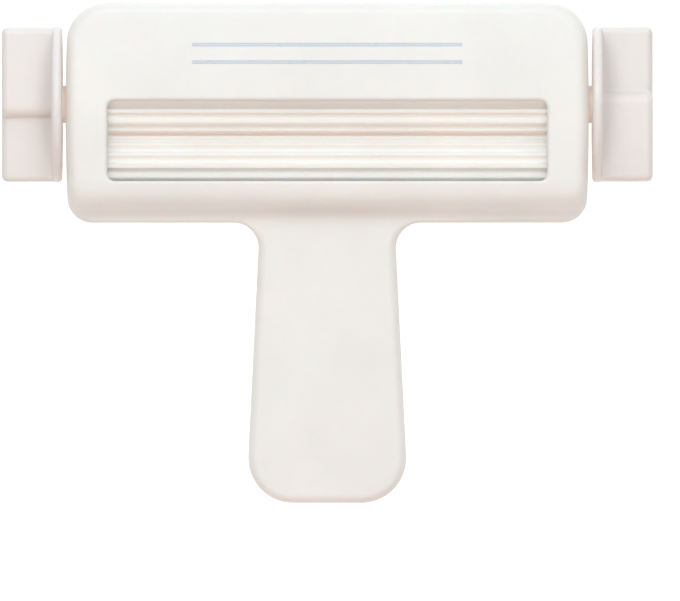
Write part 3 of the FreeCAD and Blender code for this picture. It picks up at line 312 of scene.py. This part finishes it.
@dataclass(frozen=True)
class MouldedPlastic:
    """Satin injection moulding, with painted shade in its hollows, a painted glow in its gaps, and a
    painted highlight, partly wear, on its edges, which are also a little polished.

    Attributes:
        name: Name of the material.
        colour: Linear colour of the open faces.
        painted_hollow_shade: Linear colour of the painted shade in corners and grooves.
        edge: Linear colour along the edges, a painted highlight broken up like wear.
        roughness: Roughness of the open faces.
        grain: Grains of the mould's texture per metre.
        depth: Depth of that texture in metres.
        mottle: How much the tone changes from place to place.
        glow: Share of light that travels under the skin.
        glow_reach: How far it travels there, in metres.
        painted_gap_glow: Linear colour of the painted light that the moulding gives off in its gaps and
            grooves.
        glossier: How far the roughness falls below its value in places.
        duller: How far it rises above its value in places.
        polish: How much smoother the edges are.
        relief: Strength of the texture's shading.
        refraction: Refractive index of the plastic.
    """

    name: str
    colour: Colour
    painted_hollow_shade: Colour
    edge: Colour
    roughness: float = 0.42
    grain: float = 5200.0
    depth: float = 0.000012
    mottle: float = 0.05
    glow: float = 0.2
    glow_reach: float = 0.002
    painted_gap_glow: Colour = (0.16, 0.15, 0.14)
    glossier: float = 0.05
    duller: float = 0.06
    polish: float = 0.08
    relief: float = 0.5
    refraction: float = 1.5

    def make(self, effects: Effects) -> bpy.types.Material:
        """Build the material.

        Args:
            effects: Shared node groups.

        Returns:
            The finished material.
        """
        material = bpy.data.materials.new(self.name)
        material.use_nodes = True
        graph = Graph(material.node_tree)
        skin = graph.add("ShaderNodeGroup", node_tree=effects.skin)
        skin.inputs["Grain"].default_value = self.grain
        edges = graph.add("ShaderNodeGroup", node_tree=effects.edges)
        hollows = graph.add("ShaderNodeGroup", node_tree=effects.hollows)
        cloud = graph.spread(skin.outputs["Cloud"], *NOISE_RANGE)
        darker = tuple(channel * (1 - self.mottle) for channel in self.colour)
        base = graph.tone(cloud, self.colour, darker)
        # Painted highlight, partly wear: the edges are lightened along the edge mask, broken up by scuff
        # noise.
        highlit_and_worn = graph.tone(edges.outputs["Edge"], base, self.edge)
        # Painted shade: corners, gaps and grooves are darkened to a warmer colour where little light gets
        # in.
        with_painted_shade = graph.tone(hollows.outputs["Hollow"], highlit_and_worn, self.painted_hollow_shade)
        smoothest, roughest = self.roughness - self.glossier, self.roughness + self.duller
        gloss = graph.spread(skin.outputs["Sheen"], *NOISE_RANGE, smoothest, roughest)
        rubbed = graph.math("SUBTRACT", gloss, graph.math("MULTIPLY", edges.outputs["Edge"], self.polish))
        height = {"Height": skin.outputs["Height"], "Normal": edges.outputs["Normal"]}
        bump = graph.add("ShaderNodeBump", {"Strength": self.relief, "Distance": self.depth, **height})
        # Painted light: the moulding glows faintly in its gaps and grooves, lifting their shade.
        painted_gap_glow = graph.tone(hollows.outputs["Shade"], BLACK, self.painted_gap_glow)
        inputs = {
            "Base Color": with_painted_shade,
            "Roughness": rubbed,
            "Normal": bump.outputs[0],
            "Emission Color": painted_gap_glow,
            "Emission Strength": 1.0,
            "Subsurface Weight": self.glow,
            "Subsurface Scale": self.glow_reach,
            "IOR": self.refraction,
        }
        shader = graph.add("ShaderNodeBsdfPrincipled", inputs)
        graph.add("ShaderNodeOutputMaterial", {"Surface": shader.outputs[0]})
        return material


@dataclass(frozen=True)
class Steel:
    """Drawn or plated steel with fine lines and faint clouds.

    Attributes:
        name: Name of the material.
        colour: Linear colour of the metal.
        cloudy: Linear colour of its duller patches.
        roughness: Roughness of the bright metal.
        lines: Fine lines per metre across X.
        along: Stretch of the lines, from 0 for endless to 1 for none.
        depth: Depth of the lines in metres.
        relief: Strength of the lines' shading.
        duller: How far the roughness rises above its value between the lines.
        edge_radius: Rounding of the edges in metres.
        cloud_low: Cloud value at which the metal has its own colour.
        cloud_high: Cloud value at which it has its dull colour.
    """

    name: str
    colour: Colour
    cloudy: Colour
    roughness: float = 0.25
    lines: float = 4000.0
    along: float = 0.02
    depth: float = 0.000006
    relief: float = 0.4
    duller: float = 0.12
    edge_radius: float = 0.0002
    cloud_low: float = 0.35
    cloud_high: float = 0.65

    def make(self, effects: Effects) -> bpy.types.Material:
        """Build the material.

        Args:
            effects: Shared node groups.

        Returns:
            The finished material.
        """
        material = bpy.data.materials.new(self.name)
        material.use_nodes = True
        graph = Graph(material.node_tree)
        drawn = graph.add("ShaderNodeGroup", node_tree=effects.drawn)
        drawn.inputs["Lines"].default_value = self.lines
        drawn.inputs["Along"].default_value = self.along
        edges = graph.add("ShaderNodeGroup", node_tree=effects.edges)
        edges.inputs["Radius"].default_value = self.edge_radius
        cloud = graph.spread(drawn.outputs["Cloud"], self.cloud_low, self.cloud_high)
        base = graph.tone(cloud, self.colour, self.cloudy)
        dullest = self.roughness + self.duller
        gloss = graph.spread(drawn.outputs["Height"], *NOISE_RANGE, self.roughness, dullest)
        height = {"Height": drawn.outputs["Height"], "Normal": edges.outputs["Normal"]}
        bump = graph.add("ShaderNodeBump", {"Strength": self.relief, "Distance": self.depth, **height})
        inputs = {"Base Color": base, "Roughness": gloss, "Normal": bump.outputs[0], "Metallic": 1.0}
        shader = graph.add("ShaderNodeBsdfPrincipled", inputs)
        graph.add("ShaderNodeOutputMaterial", {"Surface": shader.outputs[0]})
        return material


FINISHES: dict[Slot, MouldedPlastic | Steel] = {
    Slot.SHELL: MouldedPlastic(
        "warm_white_shell",
        colour=(0.845, 0.815, 0.78),
        painted_hollow_shade=(0.74, 0.62, 0.53),
        edge=(0.88, 0.855, 0.82),
    ),
    Slot.LEVER: MouldedPlastic(
        "warm_white_lever",
        colour=(0.81, 0.78, 0.75),
        painted_hollow_shade=(0.71, 0.6, 0.52),
        edge=(0.86, 0.84, 0.81),
    ),
    Slot.KNOB: MouldedPlastic(
        "warm_white_knob",
        colour=(0.81, 0.755, 0.725),
        painted_hollow_shade=(0.72, 0.6, 0.52),
        edge=(0.86, 0.82, 0.79),
    ),
    Slot.ROLLER: MouldedPlastic(
        "cream_roller",
        colour=(0.88, 0.845, 0.8),
        painted_hollow_shade=(0.78, 0.66, 0.57),
        edge=(0.92, 0.88, 0.83),
        roughness=0.36,
        painted_gap_glow=(0.2, 0.175, 0.16),
    ),
    Slot.STRIPE: MouldedPlastic(
        "pale_blue_inlay",
        colour=(0.6, 0.655, 0.71),
        painted_hollow_shade=(0.48, 0.55, 0.63),
        edge=(0.64, 0.69, 0.74),
        roughness=0.3,
        grain=9000.0,
        depth=0.000004,
    ),
    Slot.BUSH: MouldedPlastic(
        "bearing_plastic",
        colour=(0.72, 0.7, 0.64),
        painted_hollow_shade=(0.55, 0.5, 0.42),
        edge=(0.76, 0.74, 0.69),
        roughness=0.35,
    ),
    Slot.SHAFT: Steel(
        "ground_steel",
        colour=(0.56, 0.56, 0.57),
        cloudy=(0.48, 0.48, 0.5),
    ),
    Slot.FASTENER: Steel(
        "plated_steel",
        colour=(0.62, 0.62, 0.64),
        cloudy=(0.55, 0.56, 0.56),
        roughness=0.32,
        lines=900.0,
        along=1.0,
    ),
    Slot.SPRING: Steel(
        "spring_wire",
        colour=(0.5, 0.5, 0.51),
        cloudy=(0.42, 0.42, 0.44),
        roughness=0.28,
        lines=2600.0,
        along=0.5,
    ),
}


@dataclass
class SubAssembly:
    """Nodes of the frame that are dressed together.

    Attributes:
        title: What the sub-assembly is.
        nodes: Name of each node, with the slot of its finish.
    """

    title: str
    nodes: dict[str, Slot]

    def dress(self, materials: dict[Slot, bpy.types.Material]) -> None:
        """Give each node its material.

        Args:
            materials: Finished material of each slot.
        """
        for name, slot in self.nodes.items():
            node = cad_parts[name]
            for place in node.material_slots:
                place.material = materials[slot]
            LOG.info("%s: %s is finished in %s", self.title, name, materials[slot].name)


HOUSING = SubAssembly(
    "housing",
    {
        "front_housing": Slot.SHELL,
        "rear_housing": Slot.SHELL,
        "grip_back_cover": Slot.SHELL,
        "stripe_inlays": Slot.STRIPE,
        "housing_screws": Slot.FASTENER,
        "grip_cover_screws": Slot.FASTENER,
    },
)
DRIVE_LINE = SubAssembly(
    "drive line",
    {
        "drive_roller": Slot.ROLLER,
        "drive_shaft": Slot.SHAFT,
        "drive_roller_pins": Slot.SHAFT,
        "thrust_washers": Slot.FASTENER,
        "drive_bush_left": Slot.BUSH,
        "drive_bush_right": Slot.BUSH,
        "knob_left": Slot.KNOB,
        "knob_right": Slot.KNOB,
        "knob_screws": Slot.FASTENER,
    },
)
IDLER = SubAssembly(
    "lower roller",
    {
        "idler_roller": Slot.ROLLER,
        "idler_bush_left": Slot.BUSH,
        "idler_bush_right": Slot.BUSH,
        "idler_axle": Slot.SHAFT,
        "idler_clips": Slot.FASTENER,
    },
)
LEVER = SubAssembly(
    "squeeze lever",
    {
        "squeeze_lever": Slot.LEVER,
        "pivot_pin_left": Slot.SHAFT,
        "pivot_pin_right": Slot.SHAFT,
        "pivot_clips": Slot.FASTENER,
    },
)


@dataclass
class ReturnSpring:
    """Wound spring between the lever and the cover of the grip.

    Attributes:
        turns: Full turns of the wire.
        wire: Diameter of the wire in metres.
        bend_wires: Height of the bend into each straight end, in wire diameters.
        turn_steps: Rings of the mesh in one turn.
        bend_steps: Rings of the mesh in one bend.
        sides: Sides of the wire's mesh.
        travel: How far the lower end moves up at full squeeze, in metres; not used.
        low: Lowest corner of the spring's box.
        high: Highest corner of the spring's box.
    """

    turns: int = 5
    wire: float = 0.0014
    bend_wires: float = 2.2
    turn_steps: int = 48
    bend_steps: int = 10
    sides: int = 16
    travel: float = 0.0033
    low: Vector = field(init=False)
    high: Vector = field(init=False)

    def __post_init__(self) -> None:
        """Take the spring's place from its node."""
        self.low, self.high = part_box("return_spring")

    @property
    def coil(self) -> float:
        """Radius from the coil's axis to the middle of the wire, in metres."""
        return (self.high.x - self.low.x - self.wire) / 2

    def on_coil(self, angle: float, height: float) -> Vector:
        """Point of the coil's cylinder.

        Args:
            angle: Angle round the coil, in radians.
            height: Height in metres.

        Returns:
            The point, in metres.
        """
        middle = (self.low + self.high) / 2
        across, along = self.coil * math.cos(angle), self.coil * math.sin(angle)
        return Vector((middle.x + across, middle.y + along, height))

    def centre_line(self) -> list[Vector]:
        """Points down the middle of the wire, from its lower end to its upper end.

        Returns:
            The points, in metres.
        """
        leg, bend = self.wire, self.bend_wires * self.wire
        bottom, top = self.low.z, self.high.z
        first, last = bottom + leg + bend, top - leg - bend
        total = 2 * math.pi * self.turns
        steps = self.turns * self.turn_steps
        helix = []
        for i in range(steps + 1):
            helix.append(self.on_coil(total * i / steps, first + (last - first) * i / steps))
        lead = bend / self.coil
        reach = bend / 2
        rise = Vector((0, 0, reach))
        foot, knee = self.on_coil(-lead, bottom), self.on_coil(-lead, bottom + leg)
        hip, tip = self.on_coil(total + lead, top - leg), self.on_coil(total + lead, top)
        way_in = (helix[1] - helix[0]).normalized() * reach
        way_out = (helix[-1] - helix[-2]).normalized() * reach
        start = self.bend(knee, knee + rise, helix[0] - way_in, helix[0])
        finish = self.bend(helix[-1], helix[-1] + way_out, hip - rise, hip)
        return [foot, *start[:-1], *helix, *finish[1:], tip]

    def bend(self, start: Vector, first: Vector, second: Vector, end: Vector) -> list[Vector]:
        """Points on a curve between two ends, steered by two points.

        Args:
            start: First end.
            first: Point that steers the curve out of the first end.
            second: Point that steers the curve into the other end.
            end: Other end.

        Returns:
            The points, both ends among them.
        """
        points = []
        for i in range(self.bend_steps + 1):
            t = i / self.bend_steps
            u = 1 - t
            points.append(start * u ** 3 + first * 3 * u * u * t + second * 3 * u * t * t + end * t ** 3)
        return points

    def wire_mesh(self) -> bpy.types.Mesh:
        """Round wire swept along its centre line, closed at both ends.

        Returns:
            The mesh.
        """
        line = self.centre_line()
        shape = bmesh.new()
        rings = []
        side = Vector((1, 0, 0))
        for i, point in enumerate(line):
            way = (line[min(i + 1, len(line) - 1)] - line[max(i - 1, 0)]).normalized()
            side = (side - way * side.dot(way)).normalized()
            other = way.cross(side)
            ring = []
            for k in range(self.sides):
                angle = 2 * math.pi * k / self.sides
                offset = (side * math.cos(angle) + other * math.sin(angle)) * self.wire / 2
                ring.append(shape.verts.new(point + offset))
            rings.append(ring)
        for ring, following in zip(rings, rings[1:]):
            for k in range(self.sides):
                after = (k + 1) % self.sides
                face = shape.faces.new((ring[k], ring[after], following[after], following[k]))
                face.smooth = True
        shape.faces.new(reversed(rings[0]))
        shape.faces.new(rings[-1])
        shape.normal_update()
        mesh = bpy.data.meshes.new("wound_return_spring")
        shape.to_mesh(mesh)
        shape.free()
        return mesh

    def build(self, material: bpy.types.Material) -> bpy.types.Object:
        """Wind the spring, dress it and hand it to the frame.

        Args:
            material: Finish of the wire.

        Returns:
            The spring.
        """
        mesh = self.wire_mesh()
        mesh.materials.append(material)
        spring = bpy.data.objects.new("wound_return_spring", mesh)
        bpy.context.scene.collection.objects.link(spring)
        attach(spring, "frame")
        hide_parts("return_spring")
        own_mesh(spring)
        return spring


@dataclass(frozen=True)
class SkyPatch:
    """Side of the sky that brightens smoothly along one axis.

    Attributes:
        axis: Axis that it brightens along.
        start: Share of that axis where the light begins.
        full: Share of that axis where it has its full colour.
        colour: Linear colour there, strength included.
    """

    axis: str
    start: float
    full: float
    colour: Colour


@dataclass(frozen=True)
class SoftBox:
    """Square soft light that looks at the head.

    Attributes:
        name: Name of the light.
        place: Its place in metres.
        size: Side of the square in metres.
        power: Its power in watts.
        colour: Its linear colour.
    """

    name: str
    place: Place
    size: float
    power: float
    colour: Colour

    def build(self) -> None:
        """Hang the light and turn it to the head."""
        data = bpy.data.lights.new(self.name, "AREA")
        data.size = self.size
        data.energy = self.power
        data.color = self.colour
        light = bpy.data.objects.new(self.name, data)
        light.location = self.place
        gaze = AIM - Vector(self.place)
        light.rotation_euler = gaze.to_track_quat("-Z", "Y").to_euler()
        bpy.context.scene.collection.objects.link(light)


SKY = (
    SkyPatch("Z", start=0.05, full=0.9, colour=(0.46, 0.435, 0.41)),
    SkyPatch("Y", start=0.0, full=0.9, colour=(0.7, 0.74, 0.76)),
)
SOFT_BOXES = (
    SoftBox("main_light", (-0.3, 0.7, 1.7), size=1.0, power=2.4, colour=(1.0, 0.95, 0.88)),
    SoftBox("back_light", (0.0, 1.3, 1.3), size=1.0, power=3.4, colour=(0.82, 0.93, 1.0)),
    SoftBox("head_light", (0.0, 0.35, 0.7), size=0.4, power=1.8, colour=(0.71, 0.89, 1.0)),
    SoftBox("steep_light", (0.0, -0.8, 1.6), size=0.8, power=4.1, colour=(1.0, 0.91, 0.85)),
    SoftBox("front_light", (0.0, -1.3, 1.1), size=1.0, power=5.7, colour=(1.0, 0.94, 0.915)),
    SoftBox("low_warm_light", (0.0, -0.9, 0.45), size=0.8, power=0.6, colour=(1.0, 0.25, 0.12)),
)


@dataclass
class Studio:
    """Bright floor, soft lights and the camera of the photograph.

    Attributes:
        distance: Camera above the plane that is measured, in metres.
        plane: Height of that plane above the table, in metres.
        sensor: Width of the camera's sensor in millimetres.
        sight: How far the camera sees, in metres.
        floor_radius: Radius of the floor in metres.
        floor_sides: Sides of its round outline.
        floor_drop: Floor below the part's lowest face, in metres.
        floor_tones: Linear grey of its darker and of its paler patches.
        floor_patches: Patches of its tone per metre.
        floor_roughness: Roughness of its surface.
        floor_glow: Strength of the white light that it gives off.
    """

    distance: float = 8.0
    plane: float = 0.035
    sensor: float = 36.0
    sight: float = 100.0
    floor_radius: float = 9.0
    floor_sides: int = 96
    floor_drop: float = 0.0001
    floor_tones: tuple[float, float] = (0.2, 0.24)
    floor_patches: float = 6.0
    floor_roughness: float = 0.9
    floor_glow: float = 0.95

    def camera(self) -> bpy.types.Object:
        """Long lens straight above the table, framed as the photograph is.

        Returns:
            The camera.
        """
        width, height = PHOTO_PIXELS
        data = bpy.data.cameras.new("camera")
        data.sensor_width = self.sensor
        data.lens = self.sensor * self.distance / (width * PIXEL_SIZE)
        data.clip_end = self.sight
        camera = bpy.data.objects.new("camera", data)
        across = (width / 2 - ORIGIN_PIXEL[0]) * PIXEL_SIZE
        up = (ORIGIN_PIXEL[1] - height / 2) * PIXEL_SIZE
        camera.location = (across, up, self.plane + self.distance)
        bpy.context.scene.collection.objects.link(camera)
        bpy.context.scene.camera = camera
        return camera

    def floor_finish(self) -> bpy.types.Material:
        """Pale grey with faint patches, which gives off the light that makes it white.

        Returns:
            The floor's material.
        """
        material = bpy.data.materials.new("pale_floor")
        material.use_nodes = True
        graph = Graph(material.node_tree)
        place = graph.add("ShaderNodeTexCoord").outputs["Object"]
        patches = {"Vector": place, "Scale": self.floor_patches, "Detail": 3.0}
        cloud = graph.add("ShaderNodeTexNoise", patches)
        darker, paler = self.floor_tones
        inputs = {
            "Base Color": graph.tone(cloud.outputs[0], (darker,) * 3, (paler,) * 3),
            "Roughness": self.floor_roughness,
            "Emission Color": (*WHITE, 1.0),
            "Emission Strength": self.floor_glow,
        }
        shader = graph.add("ShaderNodeBsdfPrincipled", inputs)
        graph.add("ShaderNodeOutputMaterial", {"Surface": shader.outputs[0]})
        return material

    def floor(self) -> bpy.types.Object:
        """Round pale floor just below the part.

        Returns:
            The floor.
        """
        shape = bmesh.new()
        bmesh.ops.create_circle(shape, cap_ends=True, radius=self.floor_radius, segments=self.floor_sides)
        mesh = bpy.data.meshes.new("floor")
        shape.to_mesh(mesh)
        shape.free()
        mesh.materials.append(self.floor_finish())
        floor = bpy.data.objects.new("floor", mesh)
        floor.location.z = -self.floor_drop
        bpy.context.scene.collection.objects.link(floor)
        return floor

    @staticmethod
    def sky() -> None:
        """Sky that is the sum of its patches."""
        world = bpy.data.worlds.new("sky")
        world.use_nodes = True
        graph = Graph(world.node_tree)
        way = graph.add("ShaderNodeTexCoord").outputs["Generated"]
        parts = graph.add("ShaderNodeSeparateXYZ", {0: way}).outputs
        total: Any = BLACK
        for patch in SKY:
            share = graph.spread(parts[patch.axis], patch.start, patch.full)
            glow = graph.add("ShaderNodeVectorMath", {0: patch.colour, "Scale": share}, operation="SCALE")
            both = {0: total, 1: glow.outputs[0]}
            total = graph.add("ShaderNodeVectorMath", both, operation="ADD").outputs[0]
        background = graph.add("ShaderNodeBackground", {"Color": total})
        graph.add("ShaderNodeOutputWorld", {"Surface": background.outputs[0]})
        bpy.context.scene.world = world

    def build(self) -> None:
        """Make the camera, the floor, the sky and the lights."""
        self.camera()
        self.floor()
        self.sky()
        for box in SOFT_BOXES:
            box.build()
        bpy.context.scene.view_settings.view_transform = "Standard"
        LOG.info("studio: floor, sky, %d soft lights and camera are in place", len(SOFT_BOXES))


def main() -> None:
    """Dress the part, wind its spring and set up the studio."""
    logging.basicConfig(level=logging.INFO, format="%(message)s")
    Studio().build()
    effects = Effects()
    materials = {slot: finish.make(effects) for slot, finish in FINISHES.items()}
    for assembly in (HOUSING, DRIVE_LINE, IDLER, LEVER):
        assembly.dress(materials)
    ReturnSpring().build(materials[Slot.SPRING])


if __name__ == "__main__":
    main()
